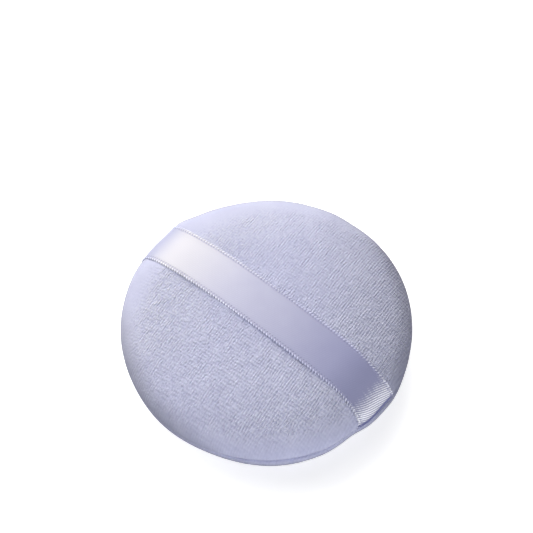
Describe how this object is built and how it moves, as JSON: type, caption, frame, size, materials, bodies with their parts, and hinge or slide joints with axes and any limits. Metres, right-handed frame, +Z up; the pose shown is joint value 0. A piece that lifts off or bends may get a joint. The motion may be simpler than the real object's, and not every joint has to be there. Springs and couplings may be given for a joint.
{
  "type": "powder puff",
  "caption": "Round plump velour powder puff with crowned covers sewn round the rim and a satin finger ribbon across the top.",
  "frame": {"origin": "centre of the flat on which the puff rests, on the axis of the round pad", "axes": "+Z up through the crown, along the pad's axis; X runs along the ribbon, with its slack end at +X"},
  "size_m": [0.0612, 0.06, 0.0157],
  "materials": {
    "velour": "soft short-pile velour knit, lavender",
    "foam": "open-cell polyurethane foam, matte off-white",
    "satin": "satin-woven ribbon with looped selvedges, lavender",
    "thread": "spun polyester sewing thread, lavender"
  },
  "bodies": {
    "root": {"top_cover": "velour", "bottom_cover": "velour", "foam_core": "foam", "ribbon_strap": "satin", "needle_thread": "thread", "bobbin_thread": "thread", "closing_thread": "thread"}
  },
  "joints": []
}
